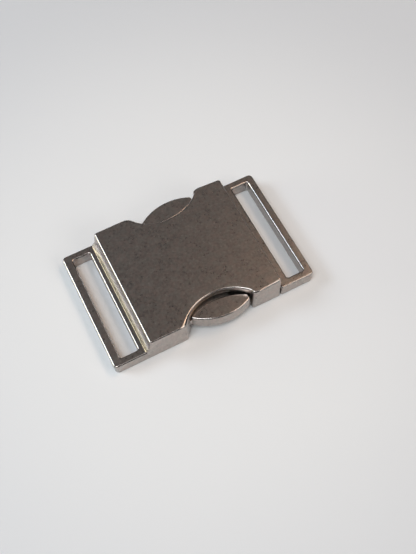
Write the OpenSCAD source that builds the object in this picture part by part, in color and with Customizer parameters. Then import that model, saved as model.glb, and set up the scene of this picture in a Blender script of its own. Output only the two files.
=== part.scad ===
// Metal side release buckle for narrow webbing, closed, lying flat.
// Millimetres. +Z is up, +X points to the loop of the half that pulls out, and the origin is
// the middle of the whole buckle on the surface that it lies on.
//
// The female half is one casting: a strap loop, a bevel, and a flat housing that is open at its
// +X end and has a scalloped notch in each long side. The male half is one casting: a strap loop,
// a base that fills the mouth, a middle tongue and a forked head. Two thumb levers turn on pins in
// that head. A coil spring in the tongue pushes each lever out, and its blunt end then stands
// behind the upright wall of the notch. Pinching both levers frees the male half.

/* [Overall] */

// width across the long sides, of housing and loops alike
body_width = 28.9; // [28.5:0.1:30]
// length of the housing
housing_length = 30.6; // [30.2:0.1:32]
// height of the housing
housing_height = 7.5; // [7.4:0.1:8.2]
// radius of the loops' upright corners
corner_radius = 0.9; // [0.7:0.1:1.2]
// radius of the housing's upright corners
housing_corner_radius = 0.5; // [0.45:0.05:0.7]
// radius of the worn edges
edge_radius = 0.35; // [0.2:0.05:0.4]

/* [Strap loops] */

// length of a strap slot, for 25 mm webbing
slot_length = 25.6; // [25:0.1:25.8]
// width of a strap slot
slot_width = 4.05; // [3.8:0.05:4.1]
// how far the female loop reaches beyond the housing
female_reach = 8.4; // [8.3:0.1:10]
// width of the female loop's outer bar
female_bar = 2; // [1.8:0.05:2.15]
// thickness of the female loop
female_thickness = 3.3; // [2.8:0.1:3.6]
// how far the male loop reaches beyond the housing
male_reach = 8.2; // [8:0.1:10]
// width of the male loop's outer bar
male_bar = 1.75; // [1.5:0.05:1.9]
// thickness of the male loop
male_thickness = 3.6; // [3:0.1:4]

/* [Bevel at the female end] */

// how far the bevel's foot stands out from the housing's top edge
bevel_reach = 1.25; // [1.1:0.05:1.4]
// how far the end wall leans out down to the top of the bevel
wall_lean = 0.55; // [0.2:0.05:0.8]
// height of the bevel above the loop
bevel_rise = 0.85; // [0.5:0.05:1.4]

/* [Thumb notches] */

// radius of a notch
notch_radius = 10.5; // [10.4:0.1:10.8]
// depth of a notch
notch_depth = 4.3; // [4.2:0.1:4.4]
// from the housing's middle to the middle of a notch
notch_shift = 0.88; // [0.75:0.01:1]
// from the middle of a notch to its upright wall
latch_wall = 7.67; // [7.6:0.01:7.7]
// radius of the lip at the female end of a notch, where it is worn round at the top
lip_radius = 2.8; // [2.2:0.1:3]
// radius of the same lip lower down
lip_root_radius = 0.9; // [0.7:0.1:1.1]
// how far the lip reaches into the notch lower down
lip_flare = 0.65; // [0.4:0.05:0.7]
// how far the wear at the top of the latch wall's corner reaches along the housing
latch_wear = 1.7; // [1:0.1:2]
// how far the top edge is worn in at the corners of the mouth
mouth_wear = 0.35; // [0.1:0.05:0.4]
// height at which the wear of all these corners begins
lip_wear_foot = 6.5; // [6.2:0.1:6.7]

/* [Housing walls] */

// thickness of the top and bottom plates
plate_thickness = 1.7; // [1.6:0.1:1.7]
// thickness of the side walls
side_wall = 1.65; // [1.55:0.05:1.7]
// thickness of the end wall
end_wall = 1.8; // [1.6:0.1:1.9]

/* [Male half] */

// gap between the two castings above, below and beside
slide_gap = 0.2; // [0.15:0.05:0.25]
// width of the middle tongue
tongue_width = 10; // [9:0.1:10.2]
// length of the forked head
head_length = 4.6; // [4.4:0.1:4.8]
// length of the base inside the mouth
base_length = 5.7; // [5:0.1:5.8]

/* [Thumb levers] */

// radius of a thumb pad's outer edge
pad_outer_radius = 12; // [11.8:0.1:12.2]
// radius of a thumb pad's inner edge
pad_inner_radius = 14.4; // [14:0.1:15]
// how far a thumb pad stands out from the side wall
pad_bulge = 0.95; // [0.85:0.05:1]
// width of a thumb pad at its middle
pad_width = 4.45; // [4.35:0.05:4.5]
// gap between a thumb pad and the plates above and below it
pad_gap = 0.15; // [0.1:0.05:0.25]
// thickness of a lever's arm
arm_thickness = 1.9; // [1.7:0.1:2]
// radius of the eye round the pin
eye_radius = 2.1; // [1.9:0.1:2.2]
// diameter of a pin
pin_diameter = 1.6; // [1.4:0.1:1.7]
// clearance between a pin and a lever's bore, on the radius
pin_clearance = 0.05; // [0.02:0.01:0.08]

/* [Springs] */

// outer diameter of a spring
spring_diameter = 2; // [1.8:0.1:2.1]
// diameter of its wire
wire_diameter = 0.35; // [0.3:0.05:0.4]
// turns of a spring
spring_turns = 7; // [5:1:8]

/* [Hidden] */

// a cut runs this far past the face that it opens
past = 1;
mid_z = housing_height / 2;
half_width = body_width / 2;

// gap between the male half's head and the end wall, and between the head's nose and a lever's eye
head_gap = 0.25;

// stations along the buckle
x_male_end = (female_reach + housing_length + male_reach) / 2;
x_female_end = -x_male_end;
x_housing = x_female_end + female_reach;
x_mouth = x_housing + housing_length;
x_middle = (x_housing + x_mouth) / 2;
x_head = x_housing + end_wall + head_gap;
x_base = x_mouth - base_length;

// the notch circle, and the fillet and the corner at its upright wall
notch_x = x_middle + notch_shift;
notch_y = half_width - notch_depth + notch_radius;
x_latch = notch_x + latch_wall;
latch_fillet = 0.2;
latch_lip = 0.5;
// bearing, from the middle of the notch, at which the lip has run out into the circle
lip_runout = 114;
lip_steps = 6;
// draft of the upright wall, which also keeps the strips of the top and bottom plates from closing up
latch_draft = 0.04;

// the room inside, and what slides in it
room_half_width = half_width - side_wall;
room_height = housing_height - 2 * plate_thickness;
slide_half_width = room_half_width - slide_gap;
slide_height = room_height - 2 * slide_gap;

// the pin's place, and the fork's opening with a gap above and below the arm
pivot = [x_head + eye_radius + head_gap, 8.6];
fork_opening = arm_thickness + 0.2;
press_fit_gap = 0.02;

// the thumb pad lies between two circles and ends in a blunt face
pad_bottom = plate_thickness + pad_gap;
pad_top = housing_height - plate_thickness - pad_gap;
pad_outer = [notch_x + 1.72, half_width + pad_bulge - pad_outer_radius];
pad_inner = [notch_x - 0.18, half_width + pad_bulge - pad_width + pad_inner_radius];
pad_end = x_latch - 0.6;
pad_corner = 0.4;
pad_edge = 0.35;

// the spring stands between the web in the tongue's middle and a flat on the lever
spring_x = notch_x + 1;
spring_seat = 9;
spring_seat_half = 1.6;
spring_web = 1;
end_play = 0.05;
pocket_clearance = 0.15;

// the lever's arm in plan: beside the pin's eye, before the spring's flat, where it enters the pad,
// and the straight side that the side wall stops, with the gap that it has there
arm_beside_eye = [pivot[0] + 2, pivot[1] - eye_radius + 0.2];
arm_before_seat = [spring_x - 4, 7.6];
arm_in_pad = [[notch_x + 4.4, 12.6], [notch_x + 2, 13.7]];
arm_stop = [notch_x - 5.1, pivot[0] + 2.4];
stop_gap = 0.15;

// rounds of the slots' corners and of the corners where the male loop meets the housing
slot_corner = 0.4;
seam_corner = 0.4;
// how far the parts of one casting reach into each other
overlap = 0.8;

round_steps = 3;
casting = "DimGray";
lever_metal = "Gray";
steel = "Silver";

function unit(v) = v / norm(v);
function left_of(v) = [-v[1], v[0]];
function bearing(from, to) = atan2(to[1] - from[1], to[0] - from[0]);

// points on an arc from angle a to angle b, in n steps
function arc(c, r, a, b, n) = [for (i = [0:n]) let (t = a + (b - a) * i / n) c + r * [cos(t), sin(t)]];

// an outline without the points that repeat the one before them
function tidy(p) = [for (i = [0:len(p) - 1]) if (norm(p[i] - p[(i + len(p) - 1) % len(p)]) > 0.001) p[i]];

// an anticlockwise outline moved inwards by d, or outwards where d is negative
function inset(p, d) = [for (i = [0:len(p) - 1])
    let (n = len(p), u = left_of(unit(p[i] - p[(i + n - 1) % n])))
    let (v = left_of(unit(p[(i + 1) % n] - p[i])), m = unit(u + v))
    p[i] + m * d / (m * u)];

// heights and insets from the underside to the top of a plate whose two rims are rounded
function plate_levels(z0, z1, r) = let (a = [for (i = [0:round_steps]) 90 * i / round_steps]) concat(
    [for (t = a) [z0 + r * (1 - cos(t)), r * (1 - sin(t))]],
    [for (i = [round_steps:-1:0]) [z1 - r * (1 - cos(a[i])), r * (1 - sin(a[i]))]]);

// an outline moved inwards by d and lifted to height z
function loop_at(outline, z, d) = [for (q = inset(outline, d)) [q[0], q[1], z]];

// anticlockwise rectangle with rounded corners, r0 at its -X end and r1 at its +X end
function rounded_rectangle(x0, x1, h, r0, r1) = concat(
    arc([x0 + r0, r0 - h], r0, 180, 270, 5),
    arc([x1 - r1, r1 - h], r1, 270, 360, 5),
    arc([x1 - r1, h - r1], r1, 0, 90, 5),
    arc([x0 + r0, h - r0], r0, 90, 180, 5));

// side faces between neighbouring loops of n points, k loops in all
function side_faces(n, k, last) = [for (j = [0:last], i = [0:n - 1])
    let (up = (j + 1) % k * n, next = (i + 1) % n)
    [j * n + i, up + i, up + next, j * n + next]];

// underside of a solid through loops of n points: one face where the loops are convex, or else
// strips from side to side of loops that are symmetric about the long axis
function underside(n, strips) = strips
    ? [for (i = [0:n / 2 - 2]) [i, i + 1, n - 2 - i, n - 1 - i]]
    : [[for (i = [0:n - 1]) i]];

// closed solid through loops of equal length, lowest first
module skin(loops, strips = false) {
    n = len(loops[0]);
    k = len(loops);
    low = underside(n, strips);
    high = [for (f = low) [for (i = [len(f) - 1:-1:0]) (k - 1) * n + f[i]]];
    polyhedron([for (l = loops) each l], concat(side_faces(n, k, k - 2), low, high), convexity = 6);
}

// plate with both rims rounded
module rounded_plate(outline, z0, z1, r) {
    skin([for (l = plate_levels(z0, z1, r)) loop_at(outline, l[0], l[1])]);
}

// flat strap loop with corner radii r0 and r1, and every rim of the bars and the slot rounded
module strap_loop(x0, x1, r0, r1, slot_x, thickness) {
    outer = rounded_rectangle(x0, x1, half_width, r0, r1);
    inner = rounded_rectangle(slot_x, slot_x + slot_width, slot_length / 2, slot_corner, slot_corner);
    levels = plate_levels(0, thickness, edge_radius);
    k = len(levels);
    loops = concat(
        [for (l = levels) loop_at(outer, l[0], l[1])],
        [for (i = [k - 1:-1:0]) loop_at(inner, levels[i][0], -levels[i][1])]);
    n = len(outer);
    polyhedron([for (l = loops) each l], side_faces(n, 2 * k, 2 * k - 1), convexity = 6);
}

// how far the female end stands out beyond the top edge, at height z
function end_lean(z) = lookup(z, [
    [female_thickness, bevel_reach],
    [female_thickness + bevel_rise, wall_lean],
    [housing_height - edge_radius, 0]]);

// share of the corners' wear at height z, from 0 at its foot to 1 at the top
function lip_wear(z) = pow(max(0, z - lip_wear_foot) / (housing_height - lip_wear_foot), 2);

// radius of a notch's lip at height z, and how far the lip reaches into the notch there
function lip_round(z) = lip_root_radius + (lip_radius - lip_root_radius) * lip_wear(z);
function lip_shift(z) = lip_flare * (1 - lip_wear(z));

// stretch of the notch's edge next to the lip, on which the shift of the lip runs out
function lip_lead(notch, from, shift) = [for (i = [0:lip_steps])
    let (t = from + (lip_runout - from) * i / lip_steps, share = (1 + cos(180 * i / lip_steps)) / 2)
    notch + notch_radius * [cos(t), sin(t)] + [share * shift, 0]];

// corner of the latch wall at height z: an arc into the long side, from a point on the wall
function latch_corner(z) =
    let (reach = latch_lip + (latch_wear - latch_lip) * lip_wear(z))
    let (r = (pow(reach, 2) + pow(latch_lip, 2)) / (2 * latch_lip))
    let (start = 270 - asin(min(1, reach / r)))
    arc([x_latch + latch_draft + reach, r - half_width], r, start, 270, 4);

// one half of the housing's outline at height z, from the female end to the mouth, on the -Y side
function housing_side(z) =
    let (notch = [notch_x, -notch_y], r = lip_round(z), shift = lip_shift(z))
    let (lip_x = notch_x - sqrt(pow(notch_radius + r, 2) - pow(r - half_width + notch_y, 2)))
    let (lip = [lip_x, r - half_width])
    let (fillet_x = x_latch - latch_fillet, fillet_far = notch_radius - latch_fillet)
    let (fillet = [fillet_x, sqrt(pow(fillet_far, 2) - pow(fillet_x - notch_x, 2)) - notch_y])
    let (q = housing_corner_radius, x_end = x_housing - end_lean(z))
    let (mouth_half_width = half_width - mouth_wear * lip_wear(z))
    concat(
        arc([x_end + q, q - half_width], q, 180, 270, 5),
        arc(lip + [shift, 0], r, 270, 360 + bearing(lip, notch), 6),
        lip_lead(notch, bearing(notch, lip), shift),
        arc(notch, notch_radius, lip_runout, bearing(notch, fillet), 17),
        arc(fillet, latch_fillet, bearing(notch, fillet), 0, 3),
        latch_corner(z),
        arc([x_mouth - q, q - mouth_half_width], q, 270, 360, 5));

function housing_outline(z) = let (s = tidy(housing_side(z)), n = len(s))
    concat(s, [for (i = [n - 1:-1:0]) [s[i][0], -s[i][1]]]);

// outside of the housing, with the bevel at its female end
module housing_shell() {
    rims = plate_levels(0, housing_height, edge_radius);
    low_rim = [for (i = [0:round_steps]) rims[i]];
    high_rim = [for (i = [0:round_steps]) rims[round_steps + 1 + i]];
    wear_middle = (lip_wear_foot + housing_height - edge_radius) / 2;
    breaks = [female_thickness, female_thickness + bevel_rise, lip_wear_foot, wear_middle];
    levels = concat(low_rim, [for (z = breaks) [z, 0]], high_rim);
    skin([for (l = levels) loop_at(housing_outline(l[0]), l[0], l[1])], strips = true);
}

// block from (x0, y0, z0) to (x1, y1, z1)
module block(x0, x1, y0, y1, z0, z1) {
    translate([x0, y0, z0])
        cube([x1 - x0, y1 - y0, z1 - z0]);
}

// opening through both side walls, in which the levers' blunt ends stand
module lever_window() {
    z0 = plate_thickness;
    z1 = housing_height - plate_thickness;
    block(notch_x, x_latch, room_half_width - past, half_width + past, z0, z1);
    block(notch_x, x_latch, -half_width - past, past - room_half_width, z0, z1);
}

module female_housing() {
    color(casting)
        union() {
            difference() {
                housing_shell();
                block(x_housing + end_wall, x_mouth + past, -room_half_width, room_half_width,
                    plate_thickness, housing_height - plate_thickness);
                lever_window();
            }
            strap_loop(x_female_end, x_housing + overlap, corner_radius, seam_corner,
                x_female_end + female_bar, female_thickness);
        }
}

// middle tongue, base and head in plan
module tongue_plan() {
    chamfer = 1.6;
    nose = slide_half_width - chamfer;
    half = [
        [x_head, nose], [x_head + chamfer, slide_half_width],
        [x_head + head_length, slide_half_width], [x_head + head_length, tongue_width / 2],
        [x_base, tongue_width / 2], [x_base, slide_half_width],
        [x_mouth - slide_gap, slide_half_width]];
    n = len(half);
    polygon(concat([for (p = half) [p[0], -p[1]]], [for (i = [n - 1:-1:0]) half[i]]));
}

module male_body() {
    low = mid_z - slide_height / 2;
    color(casting)
        union() {
            difference() {
                translate([0, 0, low])
                    linear_extrude(slide_height)
                        tongue_plan();
                for (side = [-1, 1]) {
                    fork(side);
                    translate([pivot[0], side * pivot[1], 0])
                        cylinder(d = pin_diameter + 2 * press_fit_gap, h = housing_height, $fn = 48);
                    spring_pocket(side);
                }
            }
            // neck between the base and the loop
            block(x_mouth - slide_gap - overlap, x_mouth + slide_gap + overlap,
                -slide_half_width, slide_half_width, low, male_thickness - edge_radius);
            strap_loop(x_mouth + slide_gap, x_male_end, seam_corner, corner_radius,
                x_male_end - male_bar - slot_width, male_thickness);
        }
}

// opening in the head for one lever's arm
module fork(side) {
    near = tongue_width / 2;
    far = half_width;
    z0 = mid_z - fork_opening / 2;
    block(x_head - past, x_head + head_length + past, side > 0 ? near : -far, side > 0 ? far : -near,
        z0, z0 + fork_opening);
}

module spring_pocket(side) {
    translate([spring_x, side * spring_web, mid_z])
        rotate([-90 * side, 0, 0])
            cylinder(d = spring_diameter + 2 * pocket_clearance, h = tongue_width, $fn = 48);
}

// lens-shaped outline of the thumb pad on the +Y side
function pad_outline() =
    let (outer = pad_outer, inner = pad_inner, q = pad_corner, x_q = pad_end - pad_corner)
    let (r_out = pad_outer_radius - q, r_in = pad_inner_radius - q)
    let (low = [x_q, inner[1] - sqrt(pow(r_in, 2) - pow(x_q - inner[0], 2))])
    let (high = [x_q, outer[1] + sqrt(pow(r_out, 2) - pow(x_q - outer[0], 2))])
    let (tip = circles_meet(outer, r_out, inner, r_in))
    tidy(concat(
        arc(low, q, bearing(inner, low), 0, 4),
        arc(high, q, 0, bearing(outer, high), 4),
        arc(outer, pad_outer_radius, bearing(outer, high), bearing(outer, tip), 20),
        arc(tip, q, bearing(outer, tip), 360 + bearing(inner, tip), 5),
        arc(inner, pad_inner_radius, 360 + bearing(inner, tip), 360 + bearing(inner, low), 16)));

// where two circles meet, on the -X side of the line from the first centre up to the second
function circles_meet(c1, r1, c2, r2) =
    let (d = norm(c2 - c1), along = (d * d + r1 * r1 - r2 * r2) / (2 * d), u = unit(c2 - c1))
    c1 + u * along + left_of(u) * sqrt(r1 * r1 - along * along);

// arm and web of the lever on the +Y side, in plan
module arm_plan() {
    stop_y = room_half_width - stop_gap;
    polygon([
        [pivot[0], pivot[1] - eye_radius], arm_beside_eye, arm_before_seat,
        [spring_x - spring_seat_half, spring_seat], [spring_x + spring_seat_half, spring_seat],
        arm_in_pad[0], arm_in_pad[1],
        [arm_stop[0], stop_y], [arm_stop[1], stop_y], [pivot[0], pivot[1] + eye_radius]]);
}

// lever on the +Y side
module lever() {
    color(lever_metal)
        difference() {
            union() {
                translate([0, 0, mid_z - arm_thickness / 2]) {
                    linear_extrude(arm_thickness)
                        arm_plan();
                    translate([pivot[0], pivot[1], 0])
                        cylinder(r = eye_radius, h = arm_thickness, $fn = 64);
                }
                rounded_plate(pad_outline(), pad_bottom, pad_top, pad_edge);
            }
            translate([pivot[0], pivot[1], 0])
                cylinder(d = pin_diameter + 2 * pin_clearance, h = housing_height, $fn = 48);
        }
}

module far_lever() {
    lever();
}

module near_lever() {
    mirror([0, 1, 0])
        lever();
}

// plain pin across the fork
module pin(side) {
    color(steel)
        translate([pivot[0], side * pivot[1], mid_z - slide_height / 2])
            cylinder(d = pin_diameter, h = slide_height, $fn = 48);
}

module far_pin() {
    pin(1);
}

module near_pin() {
    pin(-1);
}

// return spring on the +Y side, from the web in the tongue to the flat on the lever: a sleeve with
// one ridge for each turn of the coil
module coil() {
    y0 = spring_web + end_play;
    y1 = spring_seat - end_play;
    turn = (y1 - y0) / spring_turns;
    crest = spring_diameter / 2;
    valley = crest - wire_diameter / 2;
    outside = [for (i = [0:spring_turns - 1]) each [[valley, i * turn], [crest, (i + 0.5) * turn]]];
    color(steel)
        translate([spring_x, y0, mid_z])
            rotate([-90, 0, 0])
                rotate_extrude($fn = 48)
                    polygon(concat([[crest - wire_diameter, 0]], outside,
                        [[valley, y1 - y0], [crest - wire_diameter, y1 - y0]]));
}

module far_spring() {
    coil();
}

module near_spring() {
    mirror([0, 1, 0])
        coil();
}

female_housing();
male_body();
near_lever();
far_lever();
near_pin();
far_pin();
near_spring();
far_spring();
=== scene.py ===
import math

import bpy
from mathutils import Matrix, Vector


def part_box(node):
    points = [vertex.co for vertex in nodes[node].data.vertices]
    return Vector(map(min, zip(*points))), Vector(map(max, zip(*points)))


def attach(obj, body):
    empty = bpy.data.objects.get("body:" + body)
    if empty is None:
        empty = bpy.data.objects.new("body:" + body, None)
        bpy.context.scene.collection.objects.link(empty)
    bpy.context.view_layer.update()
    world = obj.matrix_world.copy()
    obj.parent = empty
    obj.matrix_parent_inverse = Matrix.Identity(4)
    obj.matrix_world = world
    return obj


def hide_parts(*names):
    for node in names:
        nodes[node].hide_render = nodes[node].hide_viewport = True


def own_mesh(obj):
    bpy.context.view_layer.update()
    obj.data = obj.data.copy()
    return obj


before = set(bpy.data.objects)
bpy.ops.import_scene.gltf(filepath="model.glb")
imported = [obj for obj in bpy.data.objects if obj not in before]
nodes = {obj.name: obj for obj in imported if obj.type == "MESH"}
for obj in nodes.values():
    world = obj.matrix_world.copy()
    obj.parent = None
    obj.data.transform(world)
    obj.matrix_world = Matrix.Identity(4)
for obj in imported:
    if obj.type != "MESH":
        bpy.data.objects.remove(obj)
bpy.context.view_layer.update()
MM = 0.001
print("solids:", sorted(nodes))

# %% [markdown]
# A side release buckle for 25 mm webbing, cast in zinc alloy and plated a dark gunmetal grey. The
# solids come from the construction with every real size, so they stay as they are, and this script
# gives them what a solid has no room for: smooth light over their rounded rims, the plating with its
# grain and wear, springs of real wire, and the table and light that the photograph was taken in.
#
# The camera comes first, because each finish is judged through it. A photograph's straight edges fix
# the place that it was taken from: a model camera was moved until the long edges, slots and notches
# fell on those in the picture. Its place and its two directions are written down here in numbers.

# %% Camera at the photograph's place
CAMERA_PLACE = Vector((-27.89, -72.31, 152.96)) * MM
CAMERA_FORWARD = Vector((0.18404, 0.40520, -0.89551)).normalized()
CAMERA_UP = Vector((0.41621, 0.79324, 0.44446))
FOCAL_PIXELS = 773.1
FRAME_HEIGHT = 554


def make_camera():
    data = bpy.data.cameras.new("photo camera")
    data.sensor_width = 36
    data.lens = FOCAL_PIXELS / FRAME_HEIGHT * data.sensor_width
    data.clip_start = 0.01
    data.clip_end = 20
    camera = bpy.data.objects.new("photo camera", data)
    bpy.context.scene.collection.objects.link(camera)
    back = -CAMERA_FORWARD
    right = CAMERA_UP.cross(back).normalized()
    up = back.cross(right)
    turn = Matrix((right, up, back)).transposed().to_4x4()
    camera.matrix_world = Matrix.Translation(CAMERA_PLACE) @ turn
    return camera


bpy.context.scene.camera = make_camera()
bpy.context.scene.view_settings.view_transform = "Standard"
print("lens in mm:", round(bpy.context.scene.camera.data.lens, 1))

# %% [markdown]
# Light decides more than colour does on metal, because metal shows its surroundings. On the real
# buckle the flat top looks dark, since it mirrors a dim part of the room, beyond the buckle and high
# up. Every rim that leans to the left is white, since it mirrors a bright window there, the bevel
# mirrors a yellowish wall under that window, and the sides that face the viewer mirror the pale
# table. One even sky would make top and rims alike. So the room is dim here, and soft lamps stand
# where the rims need them, with the dim part left free. The overhead lamp, a little to the left and
# near, lights the table and keeps the shadows short. The lamps on the right are warm, which turns the
# top from grey at the left to brown at the right.

# %% Dim room
ROOM_COLOUR = (0.040, 0.040, 0.042)


def dim_room():
    world = bpy.data.worlds.new("dim room")
    world.use_nodes = True
    sky = world.node_tree.nodes["Background"]
    sky.inputs["Color"].default_value = (*ROOM_COLOUR, 1)
    sky.inputs["Strength"].default_value = 1
    bpy.context.scene.world = world


dim_room()


# %% Soft lamps
LAMP_DISTANCE = 1.0


def soft_lamp(name, direction, width, height, glow, colour):
    """A flat lamp 1 m away in this direction. Its glow is how bright its face looks."""
    data = bpy.data.lights.new(name, "AREA")
    data.shape = "RECTANGLE"
    data.size = width
    data.size_y = height
    data.energy = glow * math.pi * width * height
    data.color = colour
    lamp = bpy.data.objects.new(name, data)
    bpy.context.scene.collection.objects.link(lamp)
    toward = Vector(direction).normalized()
    lamp.location = toward * LAMP_DISTANCE
    lamp.rotation_euler = toward.to_track_quat("Z", "Y").to_euler()
    print(name, "at", [round(v, 2) for v in lamp.location], "with", round(data.energy, 1), "W")
    return lamp


soft_lamp("overhead lamp", (-0.32, -0.22, 0.93), 0.44, 0.50, 6.9, (0.93, 0.98, 1.0))
soft_lamp("right lamp", (0.48, 0.08, 0.87), 0.28, 0.28, 7.2, (1.0, 0.72, 0.52))
soft_lamp("right strip", (0.46, -0.26, 0.85), 0.44, 0.30, 2.4, (1.0, 0.86, 0.72))
soft_lamp("near lamp", (0.47, -0.68, 0.56), 0.52, 0.40, 2.6, (1.0, 0.95, 0.88))
soft_lamp("left window", (-0.71, 0.41, 0.57), 0.44, 0.30, 9.0, (0.74, 0.87, 1.0))
soft_lamp("wall below the window", (-0.91, 0.40, 0.12), 0.60, 0.30, 5.6, (1.0, 0.99, 0.68))
soft_lamp("ceiling", (0.10, 0.64, 0.76), 0.80, 0.50, 0.12, (1.0, 0.97, 0.95))

# %% [markdown]
# A finish is a graph of nodes, and long graphs are hard to read as calls. So one small class stands
# for the output of a node. Adding, subtracting or multiplying such outputs adds a Math node, and the
# finish below reads as plain arithmetic. Everything that isn't arithmetic goes through one method,
# which takes the node's type, its settings, and what is plugged into its sockets.


# %% Outputs with arithmetic
class Wire:
    """One output of a shader node."""

    def __init__(self, finish, socket):
        self.finish = finish
        self.socket = socket

    def math(self, operation, first, second):
        return self.finish.add("Math", {"operation": operation}, {0: first, 1: second})

    def __add__(self, other):
        return self.math("ADD", self, other)

    def __radd__(self, other):
        return self.math("ADD", other, self)

    def __sub__(self, other):
        return self.math("SUBTRACT", self, other)

    def __rsub__(self, other):
        return self.math("SUBTRACT", other, self)

    def __mul__(self, other):
        return self.math("MULTIPLY", self, other)

    def __rmul__(self, other):
        return self.math("MULTIPLY", other, self)

    def __pow__(self, other):
        return self.math("POWER", self, other)

    def __abs__(self):
        return self.math("ABSOLUTE", self, 0.0)


# %% A finish is a material that can add nodes
class Finish:
    """A material, with one method that adds a node."""

    def __init__(self, name):
        self.material = bpy.data.materials.new(name)
        self.material.use_nodes = True
        self.tree = self.material.node_tree
        self.surface = self.tree.nodes["Principled BSDF"]

    def plug(self, socket, value):
        if isinstance(value, Wire):
            self.tree.links.new(value.socket, socket)
        else:
            socket.default_value = value

    def add(self, kind, settings, plugs, out=0):
        node = self.tree.nodes.new("ShaderNode" + kind)
        for name, value in settings.items():
            setattr(node, name, value)
        for key, value in plugs.items():
            self.plug(node.inputs[key], value)
        return Wire(self, node.outputs[out])

    def show(self, **looks):
        for name, value in looks.items():
            self.plug(self.surface.inputs[name.replace("_", " ")], value)
        print(self.material.name, "has", len(self.tree.nodes), "nodes")
        return self.material


# %% [markdown]
# Patterns are measured in millimetres on the part itself. Object coordinates do that: they are the
# buckle's own, so a scratch stays where it is when the camera or a lever moves. Four small helpers
# cover what the finishes need: a place in millimetres, cloudy noise, a soft step from 0 to 1, and a
# blend of two colours.


# %% Pattern helpers
def in_millimetres(f):
    place = f.add("TexCoord", {}, {}, out="Object")
    return f.add("VectorMath", {"operation": "SCALE"}, {"Vector": place, "Scale": 1 / MM})


def clouds(f, place, per_mm, detail=2.0, rough=0.5):
    plugs = {"Vector": place, "Scale": per_mm, "Detail": detail, "Roughness": rough}
    return f.add("TexNoise", {}, plugs)


def soft_step(f, value, low, high):
    plugs = {"Value": value, "From Min": low, "From Max": high}
    return f.add("MapRange", {"interpolation_type": "SMOOTHSTEP"}, plugs)


def blend_colours(f, share, first, second):
    plugs = {0: share, 6: rgba(first), 7: rgba(second)}
    return f.add("Mix", {"data_type": "RGBA"}, plugs, out=2)


def rgba(colour):
    return colour if isinstance(colour, Wire) else (*colour, 1)


# %% [markdown]
# Plated castings wear first where hands and straps rub: on the rims. A rim is where the surface
# leans, neither level nor upright. With z the upward part of the surface's direction, the product
# z² (1 − z²) is zero on level and on upright faces and largest on a 45 degree lean, so it finds every
# rounded rim, and the bevel too, without a painted map.


# %% Where the rims are
def rim_share(f):
    facing = f.add("TexCoord", {}, {}, out="Normal")
    upward = f.add("SeparateXYZ", {}, {"Vector": facing}, out="Z")
    level = upward * upward
    return 4 * level * (1 - level)


# %% [markdown]
# Two kinds of scratch are on the top plate. Some are hair-fine and lie all over in two or three
# directions: cloudy noise stretched along a line gives those. Two are long enough to know: they are
# given by their end points, and the distance to that line makes each a thin stroke, which fades out
# below the top plate.

# %% Scratches
HAIR_STRETCH = (0.18, 5.5, 1.0)
PLATE_HEIGHTS = (7.3, 7.4)


def hair_lines(f, place, degrees, shift):
    turned = f.add(
        "VectorRotate", {"rotation_type": "Z_AXIS"}, {"Vector": place, "Angle": math.radians(degrees)}
    )
    drawn = f.add(
        "VectorMath", {"operation": "MULTIPLY_ADD"},
        {0: turned, 1: HAIR_STRETCH, 2: (shift, shift, shift)},
    )
    return soft_step(f, clouds(f, drawn, 1.0, 1.0), 0.66, 0.74)


def stroke(f, place, start, end, width):
    """A thin line between two points of the top plate, given in millimetres."""
    along = (Vector(end) - Vector(start)).normalized()
    across = Vector((-along.y, along.x))
    length = (Vector(end) - Vector(start)).length
    run = f.add("VectorMath", {"operation": "DOT_PRODUCT"}, {0: place, 1: (*along, 0)}, out="Value")
    side = f.add("VectorMath", {"operation": "DOT_PRODUCT"}, {0: place, 1: (*across, 0)}, out="Value")
    height = f.add("SeparateXYZ", {}, {"Vector": place}, out="Z")
    wobble = clouds(f, place, 0.8) * 0.25 - 0.125
    middle = abs(run - (along.dot(Vector(start)) + length / 2))
    off = abs(side + wobble - across.dot(Vector(start)))
    inside = 1 - soft_step(f, middle, length / 2 - 0.6, length / 2)
    near = 1 - soft_step(f, off, 0.0, width)
    return inside * near * soft_step(f, height, *PLATE_HEIGHTS)


# %% [markdown]
# Gunmetal is a dark nickel plating. Close up it is never one grey: it drifts between greyish and
# brownish over a millimetre or two, has darker grains of about half a millimetre, and a few pale
# flecks where the casting was rough. One colour with noise over it would only get lighter and
# darker, so two tinges are blended first, then the dark grain, then the wear and the scratches. The
# same noise also feeds roughness and bump, so that colour and gloss change in the same places.

# %% Gunmetal plating
GUNMETAL_GREY = (0.455, 0.425, 0.400)
GUNMETAL_BROWN = (0.480, 0.410, 0.382)
GUNMETAL_DARK = (0.315, 0.281, 0.265)
BARE_NICKEL = (0.62, 0.585, 0.54)
LONG_SCRATCHES = [((-9.85, -0.80), (-6.77, 0.52)), ((-7.14, -2.22), (-2.69, -5.09))]
SCRATCH_WIDTH = 0.13


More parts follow.
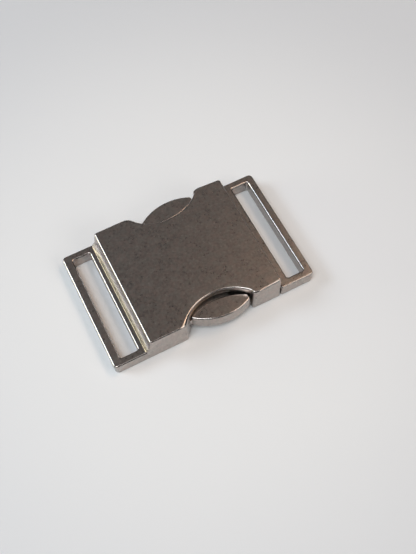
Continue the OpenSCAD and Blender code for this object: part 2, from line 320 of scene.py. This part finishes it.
def gunmetal(name, scratches):
    f = Finish(name)
    place = in_millimetres(f)
    mottle = clouds(f, place, 0.45, 2.0, 0.5)
    speckle = clouds(f, place, 1.7, 3.0, 0.65)
    tinge = clouds(f, place, 0.8, 2.0, 0.6)
    flecks = soft_step(f, clouds(f, place, 1.9, 0.0), 0.67, 0.76)
    grain = clouds(f, place, 9.0, 1.0)
    hairs = hair_lines(f, place, 28, 3.0) + hair_lines(f, place, -51, 11.0)
    marks = hairs * 0.35
    for start, end in scratches:
        marks = marks + stroke(f, place, start, end, SCRATCH_WIDTH)
    rim = rim_share(f)
    worn = rim * soft_step(f, rim * 0.7 + speckle * 0.5, 0.35, 0.8)
    cloudy = soft_step(f, mottle * 0.2 + speckle * 0.8, 0.22, 0.66)
    base = blend_colours(f, soft_step(f, tinge, 0.40, 0.60), GUNMETAL_GREY, GUNMETAL_BROWN)
    plating = blend_colours(f, cloudy, GUNMETAL_DARK, base)
    rubbed = blend_colours(f, worn * 0.2, plating, BARE_NICKEL)
    colour = blend_colours(f, marks * 0.3 + flecks * 0.35, rubbed, BARE_NICKEL)
    rough = 0.29 + (speckle - 0.5) * 0.08 + (mottle - 0.5) * 0.06 - worn * 0.14
    height = grain * 0.3 + speckle + mottle * 0.8 - marks * 0.4
    bump = f.add("Bump", {}, {"Strength": 0.6, "Distance": 0.006 * MM, "Height": height})
    f.surface.inputs["Metallic"].default_value = 1.0
    return f.show(Base_Color=colour, Roughness=rough, Normal=bump)


castings = gunmetal("gunmetal_castings", LONG_SCRATCHES)
levers = gunmetal("gunmetal_levers", [])


# %% [markdown]
# The pins and springs are bright steel wire. Wire is pulled through a die, so its marks run along it,
# but at this size only a change in gloss shows.


# %% Steel wire
def steel_wire(name):
    f = Finish(name)
    place = in_millimetres(f)
    blur = clouds(f, place, 5.0, 2.0)
    colour = blend_colours(f, blur, (0.42, 0.42, 0.43), (0.60, 0.59, 0.58))
    bump = f.add("Bump", {}, {"Strength": 0.5, "Distance": 0.003 * MM, "Height": blur})
    f.surface.inputs["Metallic"].default_value = 1.0
    return f.show(Base_Color=colour, Roughness=0.22 + blur * 0.16, Normal=bump)


steel = steel_wire("steel_wire")

# %% Give each solid its finish
FINISH_OF = {
    "female_housing": castings, "male_body": castings,
    "near_lever": levers, "far_lever": levers,
    "near_pin": steel, "far_pin": steel,
}
for name, material in FINISH_OF.items():
    mesh = nodes[name].data
    mesh.materials.clear()
    mesh.materials.append(material)
print("finished:", ", ".join(FINISH_OF))

# %% [markdown]
# The solids come with one flat direction for each small facet, which would break the thin highlight
# on a rim into dashes. Their meshes stay untouched, and modifiers do the smoothing when they are
# drawn: weld the corners, join the triangles of one flat face, shade smoothly across gentle edges
# only, and let the large faces decide the direction at their borders, so that flats stay flat and the
# light turns within the rim. One edge is gentle and still a crease on the real casting: the top of
# the bevel at the female end. It is picked out by its height.


# %% Smooth across gentle edges
SHARP_FROM = math.radians(38)
CREASE_FROM = math.radians(20)
BEVEL_TOP = 4.15 * MM
NEARBY = 0.05 * MM


def gentle_edges_group():
    group = bpy.data.node_groups.new("smooth gentle edges", "GeometryNodeTree")
    group.interface.new_socket("Geometry", in_out="INPUT", socket_type="NodeSocketGeometry")
    group.interface.new_socket("Geometry", in_out="OUTPUT", socket_type="NodeSocketGeometry")
    new = group.nodes.new
    link = group.links.new
    start, end = new("NodeGroupInput"), new("NodeGroupOutput")
    clear = new("GeometryNodeRemoveAttribute")
    clear.inputs["Name"].default_value = "custom_normal"
    smooth, crisp = new("GeometryNodeSetShadeSmooth"), new("GeometryNodeSetShadeSmooth")
    crisp.domain = "EDGE"
    crisp.inputs["Shade Smooth"].default_value = False
    angle = new("GeometryNodeInputMeshEdgeAngle")
    place, parts = new("GeometryNodeInputPosition"), new("ShaderNodeSeparateXYZ")
    link(place.outputs[0], parts.inputs[0])

    def compare(operation, value, limit):
        node = new("FunctionNodeCompare")
        node.operation = operation
        node.inputs[1].default_value = limit
        link(value, node.inputs[0])
        return node.outputs[0]

    def both_or_either(operation, first, second):
        node = new("FunctionNodeBooleanMath")
        node.operation = operation
        link(first, node.inputs[0])
        link(second, node.inputs[1])
        return node.outputs[0]

    sharp = compare("GREATER_THAN", angle.outputs[0], SHARP_FROM)
    bent = compare("GREATER_THAN", angle.outputs[0], CREASE_FROM)
    above = compare("GREATER_THAN", parts.outputs["Z"], BEVEL_TOP - NEARBY)
    below = compare("LESS_THAN", parts.outputs["Z"], BEVEL_TOP + NEARBY)
    crease = both_or_either("AND", bent, both_or_either("AND", above, below))
    link(start.outputs[0], clear.inputs[0])
    link(clear.outputs[0], smooth.inputs[0])
    link(smooth.outputs[0], crisp.inputs[0])
    link(both_or_either("OR", sharp, crease), crisp.inputs["Selection"])
    link(crisp.outputs[0], end.inputs[0])
    return group


gentle_edges = gentle_edges_group()

# %% Smoothing modifiers
WELD_WITHIN = 0.001 * MM
FLAT_WITHIN = math.radians(0.4)


def smooth_light(solid):
    weld = solid.modifiers.new("weld corners", "WELD")
    weld.merge_threshold = WELD_WITHIN
    flats = solid.modifiers.new("join flats", "DECIMATE")
    flats.decimate_type = "DISSOLVE"
    flats.angle_limit = FLAT_WITHIN
    shade = solid.modifiers.new("gentle edges", "NODES")
    shade.node_group = gentle_edges
    weigh = solid.modifiers.new("flats decide", "WEIGHTED_NORMAL")
    weigh.keep_sharp = True
    weigh.weight = 100


for name in FINISH_OF:
    smooth_light(nodes[name])
print("smoothed:", ", ".join(FINISH_OF))

# %% [markdown]
# Behind each lever stands a return spring. In the construction it is a plain sleeve, so here a real
# coil takes its place: a round wire carried along a helix, with one closed turn at each end so that it
# stands flat. Points are worked out turn by turn, because the closed ends need their own pitch, which
# a screw modifier wouldn't give.

# %% Path of a spring's wire, sized from its solid
SPRING_TURNS = 7
WIRE = 0.35 * MM
STEPS_PER_TURN = 20
ROUND = 8


def spring_path(low, high):
    """Points of the wire's middle line from y = 0 to the spring's length, about the Y axis."""
    length = high.y - low.y
    radius = (high.x - low.x) / 2 - WIRE / 2
    pitch = (length - 3 * WIRE) / SPRING_TURNS
    climbs = [WIRE] + [pitch] * SPRING_TURNS + [WIRE]
    points = []
    y = WIRE / 2
    for climb in climbs:
        for step in range(STEPS_PER_TURN):
            angle = 2 * math.pi * step / STEPS_PER_TURN
            points.append(Vector((radius * math.cos(angle), y, radius * math.sin(angle))))
            y += climb / STEPS_PER_TURN
    return points


# %% Carry the wire along the helix
def wire_coil(name, low, high):
    path = spring_path(low, high)
    centre = Vector(((low.x + high.x) / 2, low.y, (low.z + high.z) / 2))
    corners, faces = [], []
    for i, p in enumerate(path):
        ahead = (path[min(i + 1, len(path) - 1)] - path[max(i - 1, 0)]).normalized()
        out = Vector((p.x, 0, p.z)).normalized()
        side = ahead.cross(out)
        for k in range(ROUND):
            a = 2 * math.pi * k / ROUND
            corners.append(centre + p + (out * math.cos(a) + side * math.sin(a)) * WIRE / 2)
    for i in range(len(path) - 1):
        for k in range(ROUND):
            a, b = i * ROUND + k, i * ROUND + (k + 1) % ROUND
            faces.append((a, b, b + ROUND, a + ROUND))
    last = (len(path) - 1) * ROUND
    faces += [tuple(range(ROUND - 1, -1, -1)), tuple(range(last, last + ROUND))]
    mesh = bpy.data.meshes.new(name)
    mesh.from_pydata(corners, [], faces)
    mesh.polygons.foreach_set("use_smooth", [True] * len(mesh.polygons))
    mesh.materials.append(steel)
    coil = bpy.data.objects.new(name, mesh)
    bpy.context.scene.collection.objects.link(coil)
    print(name, "has", len(mesh.polygons), "faces")
    return coil


# %% Set the springs in place
for side, joint, seat in (("near", "near_press", -1), ("far", "far_press", 1)):
    low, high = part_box(side + "_spring")
    coil = wire_coil(side + "_wire_spring", low, high)
    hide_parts(side + "_spring")
    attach(coil, "buckle")
    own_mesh(coil)


# %% [markdown]
# The table is pale and matt. A perfectly even one looks like paper, so its tone drifts a little over
# some centimetres. Painted shade makes it a little darker away from the buckle, where the light falls
# off, and a fine tooth breaks up the light.

# %% Table
TABLE_HALF = 1.5


def table_top(name):
    f = Finish(name)
    place = in_millimetres(f)
    drift = clouds(f, place, 0.012, 1.0)
    tooth = clouds(f, place, 2.5, 3.0)
    reach = f.add("VectorMath", {"operation": "LENGTH"}, {0: place}, out="Value")
    # Painted shade: from 30 to 95 mm out, the colour fades to a duller blue-grey for light falling
    # off.
    painted_falloff = soft_step(f, reach, 30.0, 95.0)
    table_tone = blend_colours(f, drift, (0.790, 0.795, 0.815), (0.812, 0.814, 0.824))
    colour = blend_colours(f, painted_falloff, table_tone, (0.660, 0.670, 0.700))
    bump = f.add("Bump", {}, {"Strength": 0.3, "Distance": 0.01 * MM, "Height": tooth})
    return f.show(Base_Color=colour, Roughness=0.6 + tooth * 0.1, Normal=bump)


def make_table():
    half = TABLE_HALF
    mesh = bpy.data.meshes.new("table")
    corners = [(-half, -half, 0), (half, -half, 0), (half, half, 0), (-half, half, 0)]
    mesh.from_pydata(corners, [], [(0, 1, 2, 3)])
    mesh.materials.append(table_top("table_top"))
    table = bpy.data.objects.new("table", mesh)
    bpy.context.scene.collection.objects.link(table)
    return table


table = make_table()
